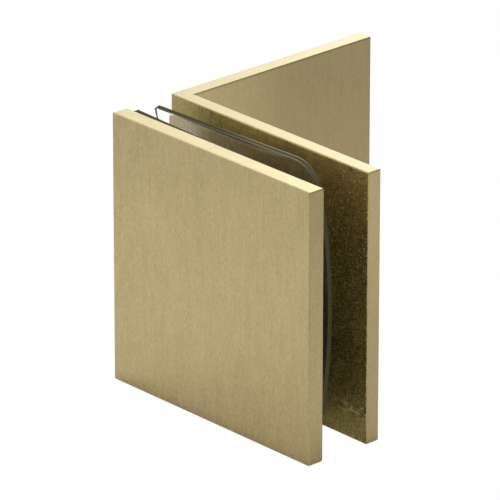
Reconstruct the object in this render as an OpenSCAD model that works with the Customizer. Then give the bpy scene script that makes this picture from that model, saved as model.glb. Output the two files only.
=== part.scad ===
// Glass panel clamp: a square plate and a wall angle that grip a glass panel between two clear gaskets.
// Millimetres. X = 0 is the wall, Y = 0 and Z = 0 the middle of the two wall-screw holes, +Z up.

/* [Plates] */
// Side of the square plate and height of the angle
plate_side = 50; // [40:0.5:80]
// Thickness of the front plate
plate_t = 3.4; // [3.2:0.1:8]
// Thickness of both legs of the angle
leg_t = 3; // [3:0.1:6]
// Length of the wall leg, measured from the face that meets the gasket
wall_leg = 45; // [34:0.5:90]
// Gap between the two plates as drawn
gap = 10; // [9.5:0.1:16]
// Small round on every plate edge
edge_r = 0.2; // [0.1:0.05:0.4]
// Round on the outer corner of the angle
corner_r = 0.5; // [0.4:0.1:2.8]

/* [Gaskets] */
// Thickness of the clear sheet
gasket_t = 1; // [0.5:0.1:1.5]
// Set back from the plates' top and bottom edges
gasket_set = 0.7; // [0.7:0.1:6]
// Set back from the plates' edge at the wall
gasket_wall_set = 0.85; // [0.85:0.05:4]
// Set back from the plates' free edge
gasket_free_set = 8.65; // [1:0.05:12]
// Rounded corners, on the side away from the wall
gasket_r = 4.7; // [1:0.1:10]
// Turn of the front gasket in its own plane, wall side up
front_turn = 1.7; // [0:0.1:1.7]
// Turn of the rear gasket in its own plane, wall side down
rear_turn = 1.7; // [0:0.1:1.7]
// Radius the loose rear gasket is bowed to
bow_r = 100; // [90:1:400]

/* [Clamping screw] */
// Thread diameter of the clamping screw
thread_d = 5; // [4:0.5:5]
// Overall length of the screw
screw_l = 12; // [11:0.5:12]
// Diameter of the countersunk head
head_d = 10; // [8:0.1:10]
// Hexagon socket across flats
socket_af = 3; // [2.5:0.5:3]
// Depth of the hexagon socket
socket_depth = 2; // [1.5:0.1:2.4]
// Diameter of the boss on the front plate
boss_d = 10; // [9:0.5:11]
// Height of the boss above the plate
boss_h = 6.6; // [6:0.1:7]
// Metal left under the tapped hole
blind_floor = 2; // [1.6:0.1:2]
// Outside diameter of the clear sleeve
sleeve_d = 14; // [13:0.5:16]
// Length of the clear sleeve
sleeve_l = 5; // [3:0.1:5.2]

/* [Wall holes] */
// Distance between the two wall-screw holes
wall_pitch = 18; // [14:0.5:18]
// Diameter of the wall-screw holes
wall_hole_d = 4.5; // [4:0.1:5.5]
// Diameter of their countersinks
wall_sink_d = 9; // [8:0.1:10]

/* [Hidden] */
$fn = 64;
// Clearances
run_clear = 0.05; // screw in its thread, sleeve on the boss
seat_clear = 0.1; // screw head in its countersink
hole_clear = 0.15; // screw shank in the leg
boss_clear = 0.3; // boss in the gaskets' holes
head_sunk = 0.15; // head below the face of the leg
head_land = 0.25; // straight rim of the head
sheet_clear = 0.05; // bowed gasket off the leg
tip_chamfer = 0.6;
boss_chamfer = 0.5;
socket_chamfer = 0.15;
past = 5;
lap = 0.01; // cuts that run into each other
// Places along Y
leg_run = wall_leg - leg_t;
rear_y = -leg_run / 2;
face_y = rear_y - leg_t;
inner_y = face_y - gap;
outer_y = inner_y - plate_t;
end_y = face_y + wall_leg;
seat_y = inner_y + gasket_t;
head_y = rear_y - head_sunk;
tip_y = head_y - screw_l;
centre_x = plate_side / 2;
half = plate_side / 2;
thread_r = thread_d / 2;
shank_r = thread_r - run_clear;
head_r = head_d / 2;
boss_r = boss_d / 2;
socket_r = socket_af / 2 / cos(30);
gasket_h = plate_side - 2 * gasket_set;
gasket_w = plate_side - gasket_wall_set - gasket_free_set;
gasket_x = gasket_wall_set + gasket_w / 2;

// Rectangle from one corner to the other with four true round corners.
module round_rect(lo, hi, r) {
  w = hi[0] - lo[0];
  h = hi[1] - lo[1];
  translate([lo[0] + r, lo[1]])
    square([w - 2 * r, h]);
  translate([lo[0], lo[1] + r])
    square([w, h - 2 * r]);
  for (x = [lo[0] + r, hi[0] - r])
    for (y = [lo[1] + r, hi[1] - r])
      translate([x, y])
        circle(r = r);
}

// Block with a round on all twelve edges: where three rounded bars cross.
module round_block(lo, hi, r) {
  intersection() {
    translate([0, 0, lo[2]])
      linear_extrude(hi[2] - lo[2])
        round_rect([lo[0], lo[1]], [hi[0], hi[1]], r);
    translate([0, hi[1], 0])
      rotate([90, 0, 0])
        linear_extrude(hi[1] - lo[1])
          round_rect([lo[0], lo[2]], [hi[0], hi[2]], r);
    translate([lo[0], 0, 0])
      rotate([90, 0, 90])
        linear_extrude(hi[0] - lo[0])
          round_rect([lo[1], lo[2]], [hi[1], hi[2]], r);
  }
}

// Turned piece on the clamping screw's axis; y grows along +Y from the start.
module on_screw(y) {
  translate([centre_x, y, 0])
    rotate([-90, 0, 0])
      children();
}

// Post that gives the angle its rounder outer corner, top and bottom edges rounded as the legs' are.
module corner_post() {
  translate([corner_r, face_y + corner_r, 0])
    rotate_extrude()
      intersection() {
        round_rect([-corner_r, -half], [corner_r, half], edge_r);
        translate([0, -half])
          square([corner_r, plate_side]);
      }
}

// Leg behind the glass, cut square where the post takes over.
module glass_leg() {
  intersection() {
    round_block([-past, face_y, -half], [plate_side, rear_y, half], edge_r);
    translate([corner_r, face_y - past, -plate_side])
      cube([plate_side, leg_t + 2 * past, 2 * plate_side]);
  }
}

// Leg on the wall, cut square where the post takes over.
module wall_leg_slab() {
  intersection() {
    round_block([0, face_y - past, -half], [leg_t, end_y, half], edge_r);
    translate([-past, face_y + corner_r, -plate_side])
      cube([leg_t + 2 * past, wall_leg, 2 * plate_side]);
  }
}

// Countersunk hole for the clamping screw, sunk from the back of the leg.
module clamp_hole() {
  sink_r = head_r + seat_clear;
  hole_r = thread_r + hole_clear;
  straight = head_sunk + head_land;
  on_screw(face_y - past)
    cylinder(r = hole_r, h = leg_t + 2 * past);
  on_screw(rear_y - straight)
    cylinder(r = sink_r, h = straight + past);
  on_screw(rear_y - straight - (sink_r - hole_r))
    cylinder(r1 = hole_r, r2 = sink_r, h = sink_r - hole_r);
}

// Countersunk hole for one wall screw, sunk from inside the leg.
module wall_hole() {
  r = wall_hole_d / 2;
  sink = wall_sink_d / 2 - r;
  rotate([0, 90, 0]) {
    translate([0, 0, -past])
      cylinder(r = r, h = leg_t + 2 * past);
    translate([0, 0, leg_t - sink])
      cylinder(r1 = r, r2 = wall_sink_d / 2, h = sink);
    translate([0, 0, leg_t])
      cylinder(r = wall_sink_d / 2, h = past);
  }
}

// Outline of a gasket, square on the wall side and rounded on the other, with the hole for the boss.
module gasket_outline(turn) {
  difference() {
    translate([gasket_x, 0])
      rotate(turn)
        intersection() {
          round_rect([-gasket_w, -gasket_h / 2], [gasket_w / 2, gasket_h / 2], gasket_r);
          translate([-gasket_w / 2, -gasket_h])
            square([gasket_w, 2 * gasket_h]);
        }
    translate([centre_x, 0])
      circle(r = boss_r + boss_clear);
  }
}

// Plate with the tapped boss that takes the clamping screw.
module front_plate() {
  color("Gold")
    difference() {
      union() {
        round_block([0, outer_y, -half], [plate_side, inner_y, half], edge_r);
        on_screw(inner_y - plate_t / 2)
          cylinder(r = boss_r, h = plate_t / 2 + boss_h - boss_chamfer);
        on_screw(inner_y + boss_h - boss_chamfer)
          cylinder(r1 = boss_r, r2 = boss_r - boss_chamfer, h = boss_chamfer);
      }
      on_screw(outer_y + blind_floor)
        cylinder(r = thread_r, h = plate_t + boss_h);
    }
}

module angle_bracket() {
  color("Goldenrod")
    difference() {
      union() {
        corner_post();
        glass_leg();
        wall_leg_slab();
      }
      clamp_hole();
      for (y = [-wall_pitch / 2, wall_pitch / 2])
        translate([0, y, 0])
          wall_hole();
    }
}

module front_gasket() {
  color("LightCyan")
    translate([0, seat_y, 0])
      rotate([90, 0, 0])
        linear_extrude(gasket_t)
          gasket_outline(-front_turn);
}

// The loose gasket: its outline cut out of a thin-walled tube that touches the leg at mid height.
module rear_gasket() {
  color("PaleTurquoise")
    intersection() {
      translate([0, face_y, 0])
        rotate([90, 0, 0])
          linear_extrude(gap - gasket_t)
            gasket_outline(rear_turn);
      translate([0, face_y - sheet_clear - bow_r, 0])
        rotate([0, 90, 0])
          difference() {
            cylinder(r = bow_r, h = plate_side);
            translate([0, 0, -past])
              cylinder(r = bow_r - gasket_t, h = plate_side + 2 * past);
          }
    }
}

// Countersunk screw with a hexagon socket; the thread is drawn as its outside diameter.
module clamp_screw() {
  color("Silver")
    difference() {
      union() {
        on_screw(head_y - head_land)
          cylinder(r = head_r, h = head_land);
        on_screw(head_y - head_land - (head_r - shank_r))
          cylinder(r1 = shank_r, r2 = head_r, h = head_r - shank_r);
        on_screw(tip_y + tip_chamfer)
          cylinder(r = shank_r, h = screw_l - tip_chamfer - head_land);
        on_screw(tip_y)
          cylinder(r1 = shank_r - tip_chamfer, r2 = shank_r, h = tip_chamfer);
      }
      on_screw(head_y - socket_depth)
        cylinder(r = socket_r, h = socket_depth + past, $fn = 6);
      on_screw(head_y - socket_chamfer)
        cylinder(r1 = socket_r - socket_chamfer, r2 = socket_r + socket_chamfer, h = 2 * socket_chamfer);
      on_screw(head_y - socket_depth - socket_r / 2)
        cylinder(r1 = 0, r2 = socket_af / 2, h = socket_r / 2 + lap);
    }
}

// Clear sleeve that keeps the boss off the glass.
module hole_sleeve() {
  color("WhiteSmoke")
    on_screw(seat_y)
      difference() {
        cylinder(d = sleeve_d, h = sleeve_l);
        translate([0, 0, -past])
          cylinder(r = boss_r + run_clear, h = sleeve_l + 2 * past);
      }
}

front_plate();
angle_bracket();
front_gasket();
rear_gasket();
clamp_screw();
hole_sleeve();
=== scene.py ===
import math
import bmesh
import bpy
from mathutils import Matrix, Vector


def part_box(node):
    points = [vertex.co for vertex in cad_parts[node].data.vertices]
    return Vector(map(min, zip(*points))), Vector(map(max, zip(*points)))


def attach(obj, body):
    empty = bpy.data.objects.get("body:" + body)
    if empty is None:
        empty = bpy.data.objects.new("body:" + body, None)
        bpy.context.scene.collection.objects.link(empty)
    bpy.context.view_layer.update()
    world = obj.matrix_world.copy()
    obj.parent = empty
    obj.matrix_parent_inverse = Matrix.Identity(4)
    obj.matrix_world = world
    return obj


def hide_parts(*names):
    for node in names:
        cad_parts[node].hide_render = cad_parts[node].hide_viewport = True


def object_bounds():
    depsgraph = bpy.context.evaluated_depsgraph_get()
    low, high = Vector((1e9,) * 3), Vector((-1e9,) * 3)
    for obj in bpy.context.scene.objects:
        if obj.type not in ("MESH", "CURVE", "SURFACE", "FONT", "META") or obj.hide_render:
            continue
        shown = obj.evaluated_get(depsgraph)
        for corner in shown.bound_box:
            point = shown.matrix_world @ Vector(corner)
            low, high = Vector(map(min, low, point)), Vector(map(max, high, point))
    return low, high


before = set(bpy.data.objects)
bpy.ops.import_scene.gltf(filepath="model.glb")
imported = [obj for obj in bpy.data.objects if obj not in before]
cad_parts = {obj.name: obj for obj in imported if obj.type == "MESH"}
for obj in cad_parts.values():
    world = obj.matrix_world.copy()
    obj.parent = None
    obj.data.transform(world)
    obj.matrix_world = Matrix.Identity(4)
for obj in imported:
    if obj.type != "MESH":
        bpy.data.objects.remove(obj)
cad_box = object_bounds()
scene = bpy.context.scene
scene.view_settings.view_transform = "Standard"


# ---- Studio: a white sweep, soft boxes and a long lens -------------------------------------------
# The object stands on white paper that bounces light onto its sides; painted pools of light glow on
# the paper, and a painted shadow darkens it where the object touches it. A broad box hangs above,
# two stand behind and two at the front left, and two narrow strips close behind draw the bright
# band along the top edges.

floor_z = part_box("angle_bracket")[0].z

camera_round = math.radians(47.670)
camera_up = math.radians(22.588)
camera_roll = math.radians(0.056)
camera_far = 1.04618
camera_aside = Vector((-0.007895, 0.001384))
aim = Vector((0.025, -0.0174, 0.0))

backward = Vector((
    math.sin(camera_round) * math.cos(camera_up),
    -math.cos(camera_round) * math.cos(camera_up),
    math.sin(camera_up),
))
level = Vector((math.cos(camera_round), math.sin(camera_round), 0.0))
upward = backward.cross(level)
across = level * math.cos(camera_roll) + upward * math.sin(camera_roll)
upright = upward * math.cos(camera_roll) - level * math.sin(camera_roll)


def placed(name, data):
    """An object that shows a mesh, a lamp or a lens in the scene."""
    thing = bpy.data.objects.new(name, data)
    scene.collection.objects.link(thing)
    return thing


def shaped(name, shell, crease=None):
    """A smooth piece from mesh work, creased where its faces turn by more than an angle."""
    mesh = bpy.data.meshes.new(name)
    shell.to_mesh(mesh)
    shell.free()
    mesh.shade_smooth()
    if crease is not None:
        mesh.set_sharp_from_angle(angle=crease)
    return placed(name, mesh)


lens = bpy.data.cameras.new("camera")
lens.sensor_width = 36.0
lens.lens = 436.09
lens.clip_start = 0.05
lens.clip_end = 20.0
camera = placed("camera", lens)
stand = Matrix((across, upright, backward)).transposed().to_4x4()
place = aim + backward * camera_far + across * camera_aside.x + upright * camera_aside.y
camera.matrix_world = Matrix.Translation(place) @ stand
scene.camera = camera


class Field:
    """A number, colour or vector that varies over a surface, as one socket of a finish's nodes."""

    def __init__(self, finish, socket):
        self.finish = finish
        self.socket = socket

    def output(self, name):
        """Another output of the node that this one comes from."""
        return Field(self.finish, self.socket.node.outputs[name])

    def parts(self):
        """The three numbers of a vector."""
        split = self.finish.node("SeparateXYZ", {}, {0: self})
        return [split.output(axis) for axis in "XYZ"]

    def __add__(self, other):
        return self.finish.maths("ADD", self, other)

    def __radd__(self, other):
        return self.finish.maths("ADD", other, self)

    def __sub__(self, other):
        return self.finish.maths("SUBTRACT", self, other)

    def __rsub__(self, other):
        return self.finish.maths("SUBTRACT", other, self)

    def __mul__(self, other):
        return self.finish.maths("MULTIPLY", self, other)

    def __rmul__(self, other):
        return self.finish.maths("MULTIPLY", other, self)

    def __truediv__(self, other):
        return self.finish.maths("DIVIDE", self, other)

    def __rtruediv__(self, other):
        return self.finish.maths("DIVIDE", other, self)

    def __lt__(self, other):
        return self.finish.maths("LESS_THAN", self, other)

    def __gt__(self, other):
        return self.finish.maths("GREATER_THAN", self, other)

    def __abs__(self):
        return self.finish.maths("ABSOLUTE", self)

    def ramp(self, low, high):
        """0 where this is below low, 1 above high, and a soft step between them."""
        return self.finish.node("MapRange", {"interpolation_type": "SMOOTHSTEP"}, {
            "Value": self, "From Min": low, "From Max": high})

    def at_least(self, share):
        """This mask of 0 to 1, squeezed so that it starts at a share."""
        return share + (1 - share) * self

    def swing(self, reach):
        """This pattern of 0 to 1, turned into a swing to both sides of nothing."""
        return reach * (self - 0.5)


class Finish:
    """A material, or the world, that is being put together from nodes."""

    def __init__(self, name, owner=None):
        self.owner = owner or bpy.data.materials.new(name)
        self.owner.use_nodes = True
        self.tree = self.owner.node_tree
        self.tree.nodes.clear()

    def node(self, kind, settings=None, inputs=None, output=0):
        """A node with its settings, and values or links in its sockets; gives one output."""
        made = self.tree.nodes.new("ShaderNode" + kind)
        for name, value in (settings or {}).items():
            setattr(made, name, value)
        for name, value in (inputs or {}).items():
            if isinstance(value, Field):
                self.tree.links.new(value.socket, made.inputs[name])
            else:
                made.inputs[name].default_value = value
        return Field(self, made.outputs[output]) if made.outputs else None

    def maths(self, operation, first, second=0.0):
        """A number worked out from one or two others."""
        return self.node("Math", {"operation": operation}, {0: first, 1: second})

    def mix(self, factor, first, second):
        """A colour between two others."""
        return self.node(
            "Mix", {"data_type": "RGBA"}, {0: factor, 6: first, 7: second}, output=2)

    def noise(self, spot, scale, detail, roughness):
        """Soft blotches of 0 to 1 over the surface; scale is about how many lie in a metre."""
        return self.node("TexNoise", {"noise_dimensions": "3D"}, {
            "Vector": spot, "Scale": scale, "Detail": detail, "Roughness": roughness})

    def over(self, factor, under, upper):
        """One shader laid over another."""
        return self.node("MixShader", {}, {0: factor, 1: under, 2: upper})

    def surface(self, shader):
        """The finished material."""
        self.node("OutputMaterial", {}, {"Surface": shader})
        return self.owner


black, white = (0, 0, 0, 1), (1, 1, 1, 1)
paper_white = (0.80, 0.80, 0.80, 1.0)
paper_half = 4.0
paper_drop = 0.0002
shadow_reach, shadow_depth = 0.004, 0.68
one_sheet_deep = 2.5
paper_gain = 1.2
room_light = 0.25
# painted pools of lamp light on the paper: middle, radius and brightness
painted_pools = (((-0.026, -0.076), 0.118, 0.296), ((0.085, 0.014), 0.046, 0.13))

sweep = bmesh.new()
bmesh.ops.create_grid(sweep, x_segments=1, y_segments=1, size=paper_half)
bmesh.ops.translate(sweep, verts=sweep.verts, vec=(0, 0, floor_z - paper_drop))
floor = shaped("floor", sweep)

# the metal mirrors the painted pools; seen straight, or through one clear sheet, the paper is plain
# white
paper = Finish("white_paper")
ray = paper.node("LightPath")
through_sheet = ray.output("Is Transmission Ray") * (ray.output("Ray Depth") < one_sheet_deep)
seen_plain = ray.output("Is Camera Ray") + through_sheet
on_x, on_y, _ = paper.node("TexCoord", output="Object").parts()
# painted light: the pools glow from the paper itself, they are no lamps
painted_pool_light = 0.0
for (pool_x, pool_y), radius, brightness in painted_pools:
    off_x, off_y = on_x - pool_x, on_y - pool_y
    fading = paper.maths("EXPONENT", (off_x * off_x + off_y * off_y) * (-1 / radius ** 2))
    painted_pool_light = painted_pool_light + brightness * fading
past_sides = [
    abs(on - (low + high) / 2) - (high - low) / 2 for on, low, high in zip((on_x, on_y), *cad_box)]
# painted shadow: the paper is darker within a few millimetres of the object's foot, inside and out
painted_contact_shadow = 1 - abs(paper.maths("MAXIMUM", *past_sides)).ramp(0.0, shadow_reach)
painted_pool = paper.mix(painted_pool_light * (1 - shadow_depth * painted_contact_shadow), black, white)
dull = paper.node("BsdfDiffuse", {}, {"Color": paper_white})
painted_glow = paper.node("Emission", {}, {"Color": painted_pool, "Strength": 1.0})
lit = paper.node("AddShader", {}, {0: dull, 1: painted_glow})
bare = 1 / paper_gain
shade = paper.mix(through_sheet, (bare, bare, bare, 1), white)
plain = paper.node("Emission", {}, {"Color": shade, "Strength": paper_gain})
floor.data.materials.append(paper.surface(paper.over(seen_plain, lit, plain)))

room = bpy.data.worlds.new("white_room")
scene.world = room
air = Finish("white_room", room)
seen = air.node("LightPath", output="Is Camera Ray")
dim = air.node("Background", {}, {"Color": white, "Strength": room_light})
bright = air.node("Background", {}, {"Color": white, "Strength": 1.0})
air.node("OutputWorld", {}, {"Surface": air.over(seen, dim, bright)})


def softbox(name, position, size, strength, target, tone=(1.0, 1.0, 1.0)):
    """A rectangular light that faces a point of the object and stays out of every view."""
    box = bpy.data.lights.new(name, "AREA")
    box.shape = "RECTANGLE"
    box.color = tone
    box.size, box.size_y = size
    box.energy = strength
    holder = placed(name, box)
    holder.location = position
    holder.rotation_euler = (target - Vector(position)).to_track_quat("-Z", "Y").to_euler()
    holder.visible_camera = False


softbox("box_above", (0.1, 0.0, 1.5), (1.6, 1.6), 8.2, aim)
softbox("box_behind", (-1.1, 1.0, 0.75), (1.8, 1.2), 5.5, aim)
softbox("box_right", (1.3, 1.2, 1.0), (1.4, 1.4), 1.1, aim)
softbox("box_low_left", (-1.04, -1.10, 0.28), (1.1, 0.5), 1.6, aim)
softbox("box_front_left", (-1.3, -0.75, 1.2), (0.9, 0.9), 4.0, aim)
top_edge = Vector((0.025, -0.020, 0.025))
cool = (0.90, 1.03, 1.17)
softbox("strip_left", (-0.3158, 0.2230, 0.1976), (0.1, 0.5), 0.077, top_edge, cool)
softbox("strip_right", (-0.2485, 0.2969, 0.1976), (0.1, 0.5), 0.215, top_edge, cool)


# ---- Angle bracket -------------------------------------------------------------------------------
# Solid brass, milled to an L, with a fine round on its edges and a bigger one at the back of the
# free leg. It is satin brushed, upright on its faces and lengthwise on its tops, while the side
# behind the glass keeps the grainy, darker skin of the blank.

# short, long and broad scratches: share, squeeze of the pattern along them, scale and detail
scratch_kinds = ((0.60, 0.30, 4300.0, 2.0), (0.18, 0.055, 3600.0, 2.0), (0.22, 0.14, 900.0, 3.0))
scratch_rough = 0.6
seed_steps = (1.0, 0.37, 0.61)


def brushed(spot, along, seed, width=1.0):
    """Fine scratches that run one way over the metal, 0 to 1; width makes them broader."""
    scratches = 0.0
    for share, squeeze, scale, detail in scratch_kinds:
        stretch = [1 / width] * 3
        stretch["XYZ".index(along)] = squeeze / width
        laid = spot.finish.node("Mapping", {}, {
            "Vector": spot, "Location": [seed * step for step in seed_steps], "Scale": stretch})
        scratches = scratches + share * spot.finish.noise(laid, scale, detail, scratch_rough)
    return scratches


def tinted(colour, tone):
    """A colour, lighter or darker by a factor."""
    return tuple(part * tone for part in colour) + (1.0,)


# how squarely a face looks one way, from where it starts to count to where it counts fully; the
# zones below are given in the same way, along X, Y or Z
squarely = (0.6, 0.8)

satin_dark = (0.445, 0.355, 0.169)
satin_light = (0.675, 0.540, 0.284)
# painted light: how much lighter the lit copy of the satin is
painted_light_gain = 1.35
hair_share, cloud_share, stain_share = 2.7, 0.35, 0.2
satin_rough, rough_by_hair, rough_by_cloud = 0.33, 0.25, 0.06
stain_scale = 420.0
seed_x, seed_y = 1.3, 2.9
# zones of painted light: the sawn end, and the wall leg near the inside corner
sawn_end_x, sawn_end_z = (0.047, 0.049), (-0.008, 0.022)
inside_x, inside_y = (0.0035, 0.006), (-0.018, 0.004)


def satin_faces(spot, facing, cloud, seed, tone, depth, end_lift, top_along):
    """Colour, roughness and scratches of the brushed faces, with painted light on some of them."""
    finish = spot.finish
    x, y, z = spot.parts()
    facing_x, _, facing_z = facing
    turn = top_along(x, y)
    hair_x, hair_y = brushed(spot, "X", seed + seed_x), brushed(spot, "Y", seed + seed_y)
    top_hair = hair_x * (1 - turn) + hair_y * turn
    on_top = abs(facing_z).ramp(*squarely)
    hair = brushed(spot, "Z", seed) * (1 - on_top) + top_hair * on_top
    stain = finish.noise(spot, stain_scale, 2.0, 0.5)
    satin = (0.5 + hair.swing(hair_share * depth) + cloud.swing(cloud_share)
             + stain.swing(stain_share))
    tint = finish.mix(satin, tinted(satin_dark, tone), tinted(satin_light, tone))

    # painted light: the sawn end is painted lighter upwards, and so is the wall leg near the inside
    # corner, as if lit by the other leg
    painted_lit_tone = tone * painted_light_gain
    bright = finish.mix(satin, tinted(satin_dark, painted_lit_tone), tinted(satin_light, painted_lit_tone))
    sideways = facing_x.ramp(*squarely)
    painted_end_light = sideways * x.ramp(*sawn_end_x) * z.ramp(*sawn_end_z)
    painted_corner_light = (1 - x.ramp(*inside_x)) * (1 - y.ramp(*inside_y))
    tint = finish.mix(painted_end_light * end_lift + sideways * painted_corner_light, tint, bright)
    rough = satin_rough + hair.swing(rough_by_hair) + cloud.swing(rough_by_cloud)
    return tint, rough, hair


skin_dark = (0.22, 0.173, 0.041)
skin_light = (1.0, 0.82, 0.33)
# painted light: a warmer, lit copy of the skin for the top of the gap
painted_top_dark = (0.23, 0.165, 0.041)
painted_top_bright = (1.0, 0.77, 0.32)
# painted highlight: the colour of the glints
painted_glint_gold = (1.0, 0.93, 0.57, 1)
grain_scale, pit_scale, crystal_scale = 5200.0, 900.0, 2300.0
skin_middle = 0.26
crest_share, grain_share, pit_share, comb_share, drift_share = 2.2, 1.4, 0.3, 1.1, 0.8
rub_share, painted_top_share, dark_share, satin_share = 5.0, 0.28, 0.10, 0.45
skin_rough, rough_by_grain, rough_by_glint = 0.50, 0.25, 0.22
relief_grain, relief_pits = 0.9, 0.4
seed_comb, seed_rub = 5.1, 7.7
comb_width, rub_width = 1.8, 2.2
grain_crests = (0.54, 0.84)
glint_core, glint_choice = (0.20, 0.46), (0.74, 0.84)
free_side_x = (0.033, 0.043)
wall_side_x = (0.001, 0.014)
glints_z = (-0.016, 0.006)
calm_z = (-0.022, -0.012)
# where the painted light falls on the top of the skin
painted_top_z, painted_top_x = (0.004, 0.024), (0.008, 0.022)
dark_foot_z = (-0.016, -0.003)
rub_from_z, rub_to_z, rub_x = (-0.0210, -0.0195), (-0.0190, -0.0175), (0.040, 0.044)


def grainy_side(spot, cloud, seed, tone, satin_tint):
    """Colour, roughness and relief of the blank's skin, on the side that faces the glass."""
    finish = spot.finish
    x, _, z = spot.parts()
    free_side = x.ramp(*free_side_x)
    calm = z.ramp(*calm_z).at_least(0.45)
    # painted light: the skin is painted paler and warmer towards its top, where light from above
    # falls into the gap
    painted_top_lift = z.ramp(*painted_top_z) * x.ramp(*painted_top_x).at_least(0.35)
    dark_foot = 1 - z.ramp(*dark_foot_z)

    grain = finish.noise(spot, grain_scale, 1.0, 0.5)
    grains = crest_share * grain.ramp(*grain_crests) + grain.swing(grain_share)
    pits = finish.noise(spot, pit_scale, 3.0, 0.6)
    comb = brushed(spot, "Z", seed + seed_comb, comb_width)
    rub_zone = z.ramp(*rub_from_z) * (1 - z.ramp(*rub_to_z)) * x.ramp(*rub_x)
    rubs = brushed(spot, "X", seed + seed_rub, rub_width)
    skin = (skin_middle + grains * free_side.at_least(0.5) * calm + pits.swing(pit_share)
            + calm * comb.swing(comb_share) + cloud.swing(drift_share)
            + rub_zone * rubs.swing(rub_share) + painted_top_share * painted_top_lift - dark_share * dark_foot)
    olive = finish.mix(skin, tinted(skin_dark, tone), tinted(skin_light, tone))
    painted_top_tint = finish.mix(skin, tinted(painted_top_dark, tone), tinted(painted_top_bright, tone))
    tint = finish.mix(painted_top_lift, olive, painted_top_tint)
    tint = finish.mix(satin_share * (1 - x.ramp(*wall_side_x)), tint, satin_tint)

    # painted glints: single crystals painted bright gold and rougher, as if they caught the light
    cell = finish.node(
        "TexVoronoi", {"feature": "F1"}, {"Vector": spot, "Scale": crystal_scale},
        output="Distance")
    chosen = finish.node("SeparateColor", {}, {0: cell.output("Color")}).ramp(*glint_choice)
    painted_glint = ((1 - cell.ramp(*glint_core)) * chosen
             * free_side.at_least(0.10) * z.ramp(*glints_z).at_least(0.35))
    tint = finish.mix(painted_glint, tint, painted_glint_gold)
    rough = skin_rough + grain.swing(rough_by_grain) + rough_by_glint * painted_glint
    return tint, rough, relief_grain * grain + relief_pits * pits


cloud_scale = 75.0
relief_hair = 0.35
brass_relief = 0.00003


def brass(name, seed, tone, depth, end_lift, top_along, gap_side):
    """Satin brass, brushed on the outside and grainy on the side that faces the glass.

    tone lightens or darkens the melt of one piece, and depth is how strongly it is brushed;
    end_lift is 1 where its sawn free end gets painted light, lighter upwards, and 0 where it
    isn't; top_along is a function of x and y that gives 0 where a top is brushed along X and 1
    where along Y; gap_side is -1 or 1, the way along Y that the grainy side faces.
    """
    finish = Finish(name)
    spot = finish.node("TexCoord", output="Object")
    facing = finish.node("TexCoord", output="Normal").parts()
    cloud = finish.noise(spot, cloud_scale, 3.0, 0.6)
    outer_tint, outer_rough, hair = satin_faces(
        spot, facing, cloud, seed, tone, depth, end_lift, top_along)
    inner_tint, inner_rough, grains = grainy_side(spot, cloud, seed, tone, outer_tint)

    inner = (facing[1] * gap_side).ramp(*squarely)
    tint = finish.mix(inner, outer_tint, inner_tint)
    rough = outer_rough * (1 - inner) + inner_rough * inner
    relief = hair * (1 - inner) * relief_hair + grains * inner
    bump = finish.node("Bump", {}, {"Height": relief, "Strength": 0.3, "Distance": brass_relief})
    return finish.surface(finish.node("BsdfPrincipled", {}, {
        "Base Color": tint, "Metallic": 1.0, "Roughness": rough, "Normal": bump}))


bracket_low, bracket_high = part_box("angle_bracket")
screw_x = sum(corner.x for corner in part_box("clamp_screw")) / 2
leg_thick = 0.003
leg_face = bracket_low.y
leg_back = leg_face + leg_thick
leg_inside = bracket_low.x + leg_thick
edge_round = 0.00025
back_round = 0.0004
round_segments = 6
outer_corner = 0.0005
corner_steps = 8
rim_break = 0.00012
round_steps = 72
turned_crease, milled_crease = math.radians(35), math.radians(25)
rounded_from = math.radians(40)
same_place = 0.0001
mitre_soft = 0.0001


def ring_at(along, radius, axis="Y", middle=(screw_x, 0.0)):
    """A ring round an axis along Y or X; radius is a number or a function of the angle."""
    points = []
    for i in range(round_steps):
        a = math.tau * i / round_steps
        r = radius(a) if callable(radius) else radius
        u, v = middle[0] + r * math.cos(a), middle[1] + r * math.sin(a)
        points.append((u, along, v) if axis == "Y" else (along, u, v))
    return points


def lofted(name, rings, hubs=()):
    """A skin over rings of points, closed at the ends by hubs, or without them into a loop.

    A hub is the number of a ring and the point that its edge is drawn together to.
    """
    shell = bmesh.new()
    rows = [[shell.verts.new(point) for point in ring] for ring in rings]
    if not hubs:
        rows.append(rows[0])
    for row, after in zip(rows, rows[1:]):
        for i in range(len(row)):
            shell.faces.new((row[i - 1], row[i], after[i], after[i - 1]))
    for number, point in hubs:
        row, hub = rows[number], shell.verts.new(point)
        for i in range(len(row)):
            shell.faces.new((row[i - 1], row[i], hub))
    bmesh.ops.recalc_face_normals(shell, faces=shell.faces[:])
    return shaped(name, shell, turned_crease)


def turned(name, profile, axis="Y", middle=(screw_x, 0.0)):
    """A turned solid from (place along the axis, radius) pairs, closed flat at both ends."""
    rings = [ring_at(along, radius, axis, middle) for along, radius in profile]
    hubs = []
    for end in (0, -1):
        along = profile[end][0]
        middle_point = (middle[0], along, middle[1]) if axis == "Y" else (along, *middle)
        hubs.append((end, middle_point))
    return lofted(name, rings, hubs)


def baked(piece):
    """Turns the modifiers of a piece into plain mesh."""
    bpy.context.view_layer.update()
    seen_now = piece.evaluated_get(bpy.context.evaluated_depsgraph_get())
    mesh = bpy.data.meshes.new_from_object(seen_now)
    mesh.materials.clear()
    mesh.name = piece.name
    piece.modifiers.clear()
    piece.data = mesh


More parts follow.
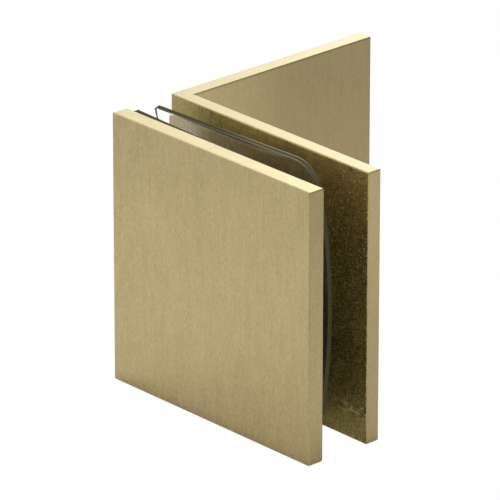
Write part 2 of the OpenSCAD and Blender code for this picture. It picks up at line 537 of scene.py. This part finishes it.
def milled(name, outline, round_of, tools):
    """An upright bar as high as the bracket, with rounded edges and with tools put to it.

    outline is its corners as (x, y), and round_of gives the round of an edge from its middle.
    Every tool is an (operation, piece) pair, to be cut out of the bar or joined to it.
    """
    bar = bmesh.new()
    bar.faces.new([bar.verts.new((x, y, bracket_low.z)) for x, y in outline])
    grown = bmesh.ops.extrude_face_region(bar, geom=bar.faces[:], use_keep_orig=True)
    risen = [v for v in grown["geom"] if isinstance(v, bmesh.types.BMVert)]
    bmesh.ops.translate(bar, verts=risen, vec=(0, 0, bracket_high.z - bracket_low.z))
    bmesh.ops.recalc_face_normals(bar, faces=bar.faces[:])
    weight = bar.edges.layers.float.new("bevel_weight_edge")
    for edge in bar.edges:
        if edge.calc_face_angle() > rounded_from:
            edge[weight] = round_of((edge.verts[0].co + edge.verts[1].co) / 2) / back_round
    piece = shaped(name, bar)

    rounding = piece.modifiers.new("round", "BEVEL")
    rounding.limit_method = "WEIGHT"
    rounding.offset_type = "OFFSET"
    rounding.width = back_round
    rounding.segments = round_segments
    rounding.use_clamp_overlap = False
    for operation, tool in tools:
        step = piece.modifiers.new("work", "BOOLEAN")
        step.operation = operation
        step.solver = "EXACT"
        step.object = tool
    baked(piece)
    for operation, tool in tools:
        bpy.data.objects.remove(tool)

    # where rounds meet, their corners swell out of the bar by a hair, and are faced off level
    for vertex in piece.data.vertices:
        vertex.co.z = min(max(vertex.co.z, bracket_low.z), bracket_high.z)
    piece.data.set_sharp_from_angle(angle=milled_crease)
    piece.modifiers.new("level", "WEIGHTED_NORMAL").keep_sharp = True
    baked(piece)
    return piece


def bracket_round(middle):
    """Sharp where the legs meet inside, rounder at the back of the free leg, fine elsewhere."""
    at_back = abs(middle.y - leg_back) < same_place
    if at_back and abs(middle.x - leg_inside) < same_place:
        return 0.0
    return back_round if at_back else edge_round


corner_arc = []
for i in range(corner_steps + 1):
    a = math.pi + math.pi / 2 * i / corner_steps
    corner_arc.append((
        bracket_low.x + outer_corner * (1 + math.cos(a)),
        leg_face + outer_corner * (1 + math.sin(a))))

past = 0.004
screw_hole, screw_sink = 0.00265, 0.0051
sink_straight = 0.0004
sink_floor = leg_back - sink_straight
drills = [("DIFFERENCE", turned("clamp_drill", (
    (leg_face - past, screw_hole), (sink_floor - (screw_sink - screw_hole), screw_hole),
    (sink_floor, screw_sink), (leg_back - rim_break, screw_sink),
    (leg_back + past, screw_sink + rim_break + past))))]
wall_hole, wall_sink = 0.00225, 0.0045
wall_pitch = 0.018
for y in (-wall_pitch / 2, wall_pitch / 2):
    drills.append(("DIFFERENCE", turned("wall_drill", (
        (bracket_low.x - past, wall_hole), (leg_inside - (wall_sink - wall_hole), wall_hole),
        (leg_inside, wall_sink), (leg_inside + past, wall_sink + past)), "X", (y, 0.0))))

bracket = milled("angle_bracket_brass", corner_arc + [
    (bracket_high.x, leg_face), (bracket_high.x, leg_back), (leg_inside, leg_back),
    (leg_inside, bracket_high.y), (bracket_low.x, bracket_high.y)], bracket_round, drills)
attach(bracket, "bracket")
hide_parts("angle_bracket")


def along_legs(x, y):
    """0 on the top of the free leg and 1 on the top of the wall leg, parted at the mitre."""
    return (y - leg_face - x).ramp(-mitre_soft, mitre_soft)


bracket.data.materials.append(brass(
    "bracket_brass", seed=3.0, tone=0.93, depth=0.75, end_lift=1.0, top_along=along_legs,
    gap_side=-1))


# ---- Front plate ---------------------------------------------------------------------------------
# Solid brass plate with a tapped boss on its inner side. It is finished as the bracket is: brushed
# outside with fine rounds, and left with the skin of the blank and bigger rounds where it faces
# the glass.

plate_low, plate_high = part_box("front_plate")
plate_thick = 0.0034
plate_back = plate_low.y + plate_thick
boss_radius, boss_break = 0.005, 0.0005
tapped, blind_floor = 0.0025, 0.002


def plate_round(middle):
    """Rounder on the side of the gasket, fine on the outside."""
    return back_round if abs(middle.y - plate_back) < same_place else edge_round


boss = turned("boss", (
    (plate_low.y + plate_thick / 2, boss_radius), (plate_high.y - boss_break, boss_radius),
    (plate_high.y, boss_radius - boss_break)))
tap = turned("tap", (
    (plate_low.y + blind_floor, tapped), (plate_high.y - rim_break, tapped),
    (plate_high.y + past, tapped + rim_break + past)))
plate = milled("front_plate_brass", (
    (plate_low.x, plate_low.y), (plate_high.x, plate_low.y),
    (plate_high.x, plate_back), (plate_low.x, plate_back)),
    plate_round, [("UNION", boss), ("DIFFERENCE", tap)])
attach(plate, "plate")
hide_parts("front_plate")
plate.data.materials.append(brass(
    "plate_brass", seed=11.0, tone=1.0, depth=1.0, end_lift=0.0, top_along=lambda x, y: 0.0,
    gap_side=1))


# ---- Gaskets -------------------------------------------------------------------------------------
# Two sheets of clear vinyl, 1 mm thick, die cut with square corners at the wall side and round ones
# at the free side. The front one lies on the plate; the rear one has kept the curl of its roll and
# stands loose.

sheet_wide = 0.0405
sheet_high = 0.0486
sheet_thick = 0.001
sheet_centre_x = 0.0211
sheet_round, round_cut_steps = 0.0047, 20
sheet_square, square_cut_steps = 0.0003, 4
sheet_turn = 1.7
boss_hole, hole_steps = 0.0053, 64
cut_edge, cut_segments = 0.00010, 2
cut_turn, sheet_crease = math.radians(60), math.radians(50)
curl = 0.100
curl_bands, curl_band = 24, 0.001
weld = 1e-7


def sheet_outline(turn):
    """Points round the edge of a sheet, and round its hole, as (x, z)."""
    right, top = sheet_wide / 2, sheet_high / 2
    edge = []
    for x, z, r, steps, start in (
            (right, top, sheet_round, round_cut_steps, 0),
            (-right, top, sheet_square, square_cut_steps, 90),
            (-right, -top, sheet_square, square_cut_steps, 180),
            (right, -top, sheet_round, round_cut_steps, 270)):
        cx, cz = x - math.copysign(r, x), z - math.copysign(r, z)
        for i in range(steps + 1):
            a = math.radians(start + 90 * i / steps)
            edge.append((cx + r * math.cos(a), cz + r * math.sin(a)))
    s, c = math.sin(turn), math.cos(turn)
    edge = [(sheet_centre_x + x * c - z * s, x * s + z * c) for x, z in edge]
    hole = []
    for i in range(hole_steps):
        a = math.tau * i / hole_steps
        hole.append((screw_x + boss_hole * math.cos(a), boss_hole * math.sin(a)))
    return edge, hole


def gasket(name, node, body, turn, settle):
    """A die-cut sheet. settle gives where a point (x, z) of its back or front skin really lies."""
    shell = bmesh.new()
    for loop in sheet_outline(math.radians(turn)):
        points = [shell.verts.new((x, 0, z)) for x, z in loop]
        for i, point in enumerate(points):
            shell.edges.new((points[i - 1], point))
    bmesh.ops.triangle_fill(shell, use_beauty=True, edges=shell.edges[:])
    for i in range(-curl_bands, curl_bands + 1):
        whole = shell.verts[:] + shell.edges[:] + shell.faces[:]
        bmesh.ops.bisect_plane(
            shell, geom=whole, dist=weld, plane_co=(0, 0, i * curl_band), plane_no=(0, 0, 1))
    grown = bmesh.ops.extrude_face_region(shell, geom=shell.faces[:], use_keep_orig=True)
    front = {v for v in grown["geom"] if isinstance(v, bmesh.types.BMVert)}
    for v in shell.verts:
        v.co = settle(v.co.x, v.co.z, v in front)
    bmesh.ops.recalc_face_normals(shell, faces=shell.faces[:])
    shell.normal_update()
    cuts = [e for e in shell.edges if len(e.link_faces) == 2 and e.calc_face_angle() > cut_turn]
    bmesh.ops.bevel(shell, geom=cuts, offset=cut_edge, segments=cut_segments, profile=0.5,
                    affect="EDGES", clamp_overlap=True)
    piece = shaped(name, shell, sheet_crease)
    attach(piece, body)
    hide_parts(node)
    return piece


vinyl_ior = 1.53
vinyl_clear = (0.98, 0.97, 0.93, 1)
vinyl_haze = (0.80, 0.76, 0.64, 1)
vinyl_shadow = (0.70, 0.69, 0.64, 1)
# painted reflection: the olive of the brass seen in the cut edges, darker and paler
painted_cut_olive = ((0.060, 0.048, 0.018, 1), (0.12, 0.10, 0.045, 1))
painted_cut_pale = ((0.15, 0.13, 0.070, 1), (0.27, 0.24, 0.15, 1))
# painted highlight: the pale colour of the rims of the cut
painted_rim_highlight = (0.40, 0.36, 0.22, 1)
cut_tilt, lip_tilt = (0.55, 0.75), (0.06, 0.22)
free_edge = (0.15, 0.9)
lip_deep = (0.70, 0.82)
lip_x = (0.014, 0.028)
wave_scale, scuff_scale, drag_scale = 60.0, 900.0, 2600.0
wave_relief = 0.0004
clear_rough, rough_by_scuff = 0.01, 0.03
haze_least, haze_by_scuff = 0.02, 0.06
cut_rough, rough_by_drag = 0.42, 0.2


def clear_vinyl(name, seed, how_deep):
    """Clear soft sheet with a faint haze and fine scuffs; its cut edges are painted olive as a
    reflection of the brass, and their rims painted pale as highlights.

    how_deep is a function of the place that gives 0 on the front skin and 1 on the back one.
    """
    vinyl = Finish(name)
    spot = vinyl.node("TexCoord", output="Object")
    facing_x, facing_y, _ = vinyl.node("TexCoord", output="Normal").parts()
    tilt = 1 - abs(facing_y)
    cut = tilt.ramp(*cut_tilt)
    moved = vinyl.node("Mapping", {}, {"Vector": spot, "Location": (seed, seed, 0)})

    # the clear faces, which let the lamps shine through
    wave = vinyl.noise(moved, wave_scale, 2.0, 0.5)
    scuff = vinyl.noise(moved, scuff_scale, 4.0, 0.65)
    bump = vinyl.node("Bump", {}, {"Height": wave, "Strength": 0.05, "Distance": wave_relief})
    clear = vinyl.node("BsdfPrincipled", {}, {
        "Base Color": vinyl_clear, "Roughness": clear_rough + rough_by_scuff * scuff,
        "IOR": vinyl_ior, "Transmission Weight": 1.0, "Normal": bump})
    haze = vinyl.node("BsdfDiffuse", {}, {"Color": vinyl_haze})
    face = vinyl.over(haze_least + haze_by_scuff * scuff, clear, haze)
    let_through = vinyl.node("BsdfTransparent", {}, {"Color": vinyl_shadow})
    face = vinyl.over(vinyl.node("LightPath", output="Is Shadow Ray"), face, let_through)

    # the cut edges, with a painted reflection: olive for the brass round them, painted paler
    # towards the free side
    drag = vinyl.noise(moved, drag_scale, 3.0, 0.6)
    sideways = facing_x.ramp(*free_edge)
    edge = vinyl.node("BsdfPrincipled", {}, {
        "Base Color": vinyl.mix(sideways, vinyl.mix(drag, *painted_cut_olive), vinyl.mix(drag, *painted_cut_pale)),
        "Roughness": cut_rough + rough_by_drag * drag, "IOR": vinyl_ior, "Specular IOR Level": 0.0,
        "Transmission Weight": 0.12})
    whole = vinyl.over(cut, face, edge)

    # the rims of the cut, painted pale as highlights
    back_rim = cut * how_deep(spot).ramp(*lip_deep) * (1 - sideways)
    front_rim = tilt.ramp(*lip_tilt) * (1 - cut)
    x, _, _ = spot.parts()
    painted_rims = (back_rim + front_rim) * x.ramp(*lip_x).at_least(0.15)
    painted_lip = vinyl.node("BsdfPrincipled", {}, {
        "Base Color": painted_rim_highlight, "Roughness": 0.35, "IOR": vinyl_ior, "Specular IOR Level": 0.0})
    return vinyl.surface(vinyl.over(painted_rims, whole, painted_lip))


front_low, front_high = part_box("front_gasket")


def laid_flat(x, z, front):
    """A point of the sheet that lies on the plate."""
    return x, front_low.y if front else front_high.y, z


def through_flat(spot):
    """How deep a place lies between the two skins of the flat sheet."""
    _, y, _ = spot.parts()
    return (y - front_low.y) / sheet_thick


flat_sheet = gasket("front_gasket_sheet", "front_gasket", "plate", -sheet_turn, laid_flat)
flat_sheet.data.materials.append(clear_vinyl("front_vinyl", 1.0, through_flat))

curl_centre_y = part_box("rear_gasket")[1].y - curl
curl_inside = curl - sheet_thick


def curled(x, z, front):
    """A point of the loose sheet, bent to its curl; z is the way along its front skin."""
    bent = z / curl_inside
    r = curl_inside if front else curl
    return x, curl_centre_y + r * math.cos(bent), r * math.sin(bent)


def through_curl(spot):
    """How deep a place lies between the two skins of the curled sheet."""
    _, y, z = spot.parts()
    y = y - curl_centre_y
    return (spot.finish.maths("SQRT", y * y + z * z) - curl_inside) / sheet_thick


loose_sheet = gasket("rear_gasket_sheet", "rear_gasket", "bracket", sheet_turn, curled)
loose_sheet.data.materials.append(clear_vinyl("rear_vinyl", 5.0, through_curl))


# ---- Clamping screw ------------------------------------------------------------------------------
# Stainless M5 x 12 countersunk screw with a 3 mm hexagon socket and a rolled thread, driven from
# behind the bracket into the front plate's boss. Its head has fine turning marks and lies just
# below the leg.

screw_low, screw_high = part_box("clamp_screw")
head_face = screw_high.y
screw_tip = screw_low.y
head_radius = (screw_high.x - screw_low.x) / 2
head_ring = 0.0030
head_land = 0.00025
# round the head's edge: how far below its face, and how much less than its radius
head_edge = ((0.0, 0.00008), (0.00002, 0.00002), (0.00008, 0.0), (head_land, 0.0))
socket_half = 0.0015
socket_deep = 0.0020
socket_draft = 0.00002
drill_point = 0.0004
# up the socket's chamfer: how far below the head's face, and how much wider
socket_chamfer = ((0.00015, 0.0), (0.00002, 0.00013), (0.0, 0.00018))
pitch = 0.0008
thread_outer = 0.00245
thread_depth = 0.00046
thread_step = 0.00005
root_flat, flank_share = 0.14, 0.72
thread_end, thread_runout = 0.0034, 0.0006
tip_length, tip_taper = 0.0007, 0.0006


def hexagon(extra):
    """Radius of the socket's hexagon at an angle, with something added all round."""
    def radius(a):
        off = (a + math.pi / 6) % (math.pi / 3) - math.pi / 6
        return socket_half / math.cos(off) + extra
    return radius


def thread(y):
    """Radius of the rolled thread at an angle, at one place along the screw."""
    past_tip = min(1.0, (y - screw_tip) / tip_length)
    short_of_head = min(1.0, max(0.0, (head_face - thread_end - y) / thread_runout))

    def radius(a):
        turn = (y / pitch + a / math.tau) % 1.0
        flank = abs(turn * 2 - 1)
        crest = min(1.0, max(0.0, (flank - root_flat) / flank_share))
        groove = thread_depth * (1 - crest) * short_of_head
        return thread_outer - groove - (1 - past_tip) * tip_taper
    return radius


socket_floor = head_face - socket_deep
neck = head_face - head_land - (head_radius - thread_outer)
screw_rings = [ring_at(socket_floor, hexagon(-socket_draft))]
screw_rings += [ring_at(head_face - below, hexagon(wider)) for below, wider in socket_chamfer]
screw_rings.append(ring_at(head_face, head_ring))
screw_rings += [ring_at(head_face - below, head_radius - less) for below, less in head_edge]
screw_rings.append(ring_at(neck, thread_outer))
thread_steps = int((neck - screw_tip) / thread_step)
for i in range(1, thread_steps + 1):
    y = neck - (neck - screw_tip) * i / thread_steps
    screw_rings.append(ring_at(y, thread(y)))
screw = lofted("clamp_screw_turned", screw_rings, (
    (0, (screw_x, socket_floor - drill_point, 0)), (-1, (screw_x, screw_tip, 0))))
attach(screw, "screw")
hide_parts("clamp_screw")

steel_dark, steel_light = (0.50, 0.49, 0.47, 1), (0.66, 0.65, 0.63, 1)
# painted shade: the colour deep in the socket
painted_socket_dark = (0.20, 0.19, 0.18, 1)
socket_shade = (0.0002, 0.0016)
socket_reach = 0.0019
lathe_scale, smudge_scale = 9000.0, 500.0
steel_rough, rough_by_smudge, rough_by_depth = 0.20, 0.16, 0.15
lathe_relief = 0.00002

steel = Finish("turned_stainless")
spot = steel.node("TexCoord", output="Object")
x, y, z = spot.parts()
off_axis = x - screw_x
from_axis = steel.maths("SQRT", off_axis * off_axis + z * z)
lathe = steel.node("TexNoise", {"noise_dimensions": "1D"}, {
    "W": from_axis, "Scale": lathe_scale, "Detail": 3.0, "Roughness": 0.6})
smudge = steel.noise(spot, smudge_scale, 3.0, 0.6)
# painted shade: the hexagon socket is painted darker towards its floor
painted_socket_shade = (head_face - y).ramp(*socket_shade) * (from_axis < socket_reach)
tint = steel.mix(painted_socket_shade, steel.mix(lathe, steel_dark, steel_light), painted_socket_dark)
rough = steel_rough + rough_by_smudge * smudge + rough_by_depth * painted_socket_shade
bump = steel.node("Bump", {}, {"Height": lathe, "Strength": 0.25, "Distance": lathe_relief})
screw.data.materials.append(steel.surface(steel.node("BsdfPrincipled", {}, {
    "Base Color": tint, "Metallic": 1.0, "Roughness": rough, "Normal": bump})))


# ---- Hole sleeve ---------------------------------------------------------------------------------
# Clear moulded bush on the boss, which keeps the brass off the edge of the hole in the glass. Its
# rims are rounded by the mould, and its skin shows faint flow marks.

sleeve_low, sleeve_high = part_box("hole_sleeve")
sleeve_outer = (sleeve_high.x - sleeve_low.x) / 2
sleeve_inner = 0.00505
sleeve_round, sleeve_round_steps = 0.00022, 4


def bush_profile():
    """Points (radius, y) round the wall of the bush, with a small round at each corner."""
    inner, outer = sleeve_inner + sleeve_round, sleeve_outer - sleeve_round
    low, high = sleeve_low.y + sleeve_round, sleeve_high.y - sleeve_round
    points = []
    for r, y, start in ((outer, high, 0), (inner, high, 90), (inner, low, 180), (outer, low, 270)):
        for i in range(sleeve_round_steps + 1):
            a = math.radians(start + 90 * i / sleeve_round_steps)
            points.append((r + sleeve_round * math.cos(a), y + sleeve_round * math.sin(a)))
    return points


sleeve = lofted("hole_sleeve_moulded", [ring_at(y, r) for r, y in bush_profile()])
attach(sleeve, "plate")
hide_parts("hole_sleeve")

nylon_dark, nylon_light = (0.86, 0.88, 0.84, 1), (0.95, 0.96, 0.93, 1)
nylon_ior, nylon_rough, rough_by_flow = 1.5, 0.10, 0.10
flow_scale, flow_relief = 350.0, 0.0002

nylon = Finish("clear_nylon")
flow = nylon.noise(nylon.node("TexCoord", output="Object"), flow_scale, 3.0, 0.6)
bump = nylon.node("Bump", {}, {"Height": flow, "Strength": 0.08, "Distance": flow_relief})
sleeve.data.materials.append(nylon.surface(nylon.node("BsdfPrincipled", {}, {
    "Base Color": nylon.mix(flow, nylon_dark, nylon_light),
    "Roughness": nylon_rough + rough_by_flow * flow, "IOR": nylon_ior,
    "Transmission Weight": 0.88, "Normal": bump})))
